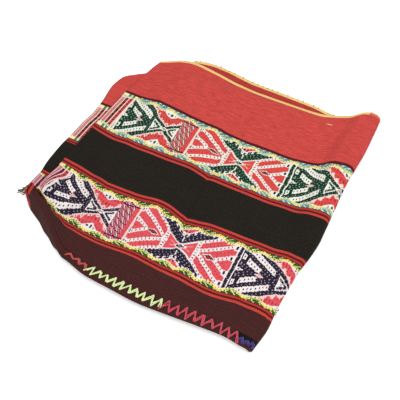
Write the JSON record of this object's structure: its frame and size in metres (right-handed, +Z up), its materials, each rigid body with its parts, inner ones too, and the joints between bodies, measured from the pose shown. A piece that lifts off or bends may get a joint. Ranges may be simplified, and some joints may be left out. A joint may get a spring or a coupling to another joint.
{
  "type": "ceremonial cloth",
  "caption": "Small woven ceremonial cloth of two seamed panels, folded in quarters with one seam ridge standing up at a corner.",
  "frame": {"origin": "middle of the footprint, on the surface that the cloth lies on", "axes": "+Z up, +X along the stripes towards the fold across them, +Y across the stripes from the seam fold towards the open edges"},
  "size_m": [0.3096, 0.3243, 0.0242],
  "materials": {
    "outer_wool": "matt handwoven wool with stripes and patterned bands",
    "inner_wool": "matt handwoven wool, maroon at the seam"
  },
  "bodies": {
    "root": {"outer_panel": "outer_wool", "inner_panel": "inner_wool"}
  },
  "joints": []
}
